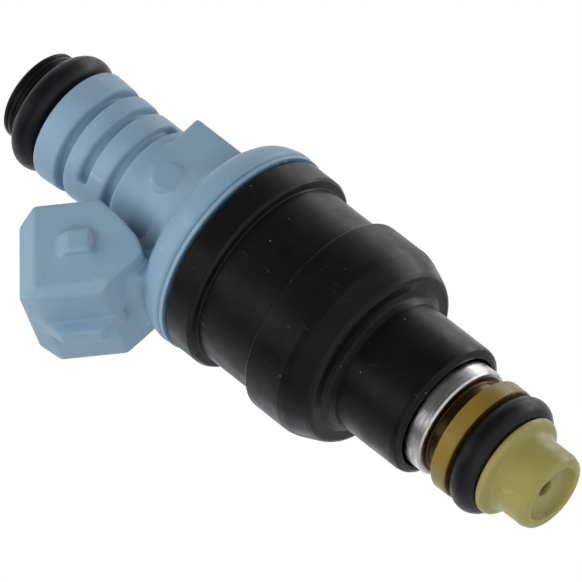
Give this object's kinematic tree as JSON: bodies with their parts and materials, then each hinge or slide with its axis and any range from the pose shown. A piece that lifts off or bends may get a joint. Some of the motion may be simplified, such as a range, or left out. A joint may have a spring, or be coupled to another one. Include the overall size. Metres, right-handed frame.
{
  "type": "fuel injector",
  "caption": "Top-feed electromagnetic fuel injector with ribbed inlet barrel, angled two-blade connector, black casing, O-ring seals at both ends and a capped nozzle.",
  "frame": {"origin": "on the injector's axis, at the middle of the lower O-ring", "axes": "+Z along the axis towards the fuel inlet, +X towards the electrical connector, +Y across it"},
  "size_m": [0.0338, 0.0254, 0.0795],
  "materials": {
    "blue_plastic": "satin",
    "black_plastic": "satin",
    "black_rubber": "satin",
    "bright_steel": "brushed",
    "magnet_steel": "turned",
    "amber_plastic": "satin",
    "cap_plastic": "satin",
    "natural_plastic": "matte",
    "tinned_brass": "tinned",
    "copper": "enamelled wire"
  },
  "bodies": {
    "injector_body": {"filter_collar": "black_plastic", "upper_o_ring": "black_rubber", "inlet_core_tube": "magnet_steel", "inlet_filter_cage": "natural_plastic", "filter_mesh": "bright_steel", "connector_moulding": "blue_plastic", "terminal_left": "tinned_brass", "terminal_right": "tinned_brass", "coil_lead_left": "copper", "coil_lead_right": "copper", "body_sleeve": "black_plastic", "flux_washer": "magnet_steel", "magnet_housing": "magnet_steel", "upper_coil_seal": "black_rubber", "coil_bobbin": "natural_plastic", "coil_winding": "copper", "lower_coil_seal": "black_rubber", "nonmagnetic_tube": "bright_steel", "adjusting_sleeve": "bright_steel", "return_spring": "bright_steel", "valve_body": "bright_steel", "valve_seat": "bright_steel", "orifice_plate": "bright_steel", "lower_spacer_ring": "amber_plastic", "lower_o_ring": "black_rubber", "pintle_cap": "cap_plastic"},
    "needle_assembly": {"armature": "magnet_steel", "valve_needle": "bright_steel"}
  },
  "joints": [
    {"name": "needle_lift", "type": "slide", "parent": "injector_body", "child": "needle_assembly", "axis": [0, 0, 1], "range_m": [0, 0.00015], "stiffness_N_per_m": 1500, "springref_m": -0.002, "deforming": ["return_spring"]}
  ]
}
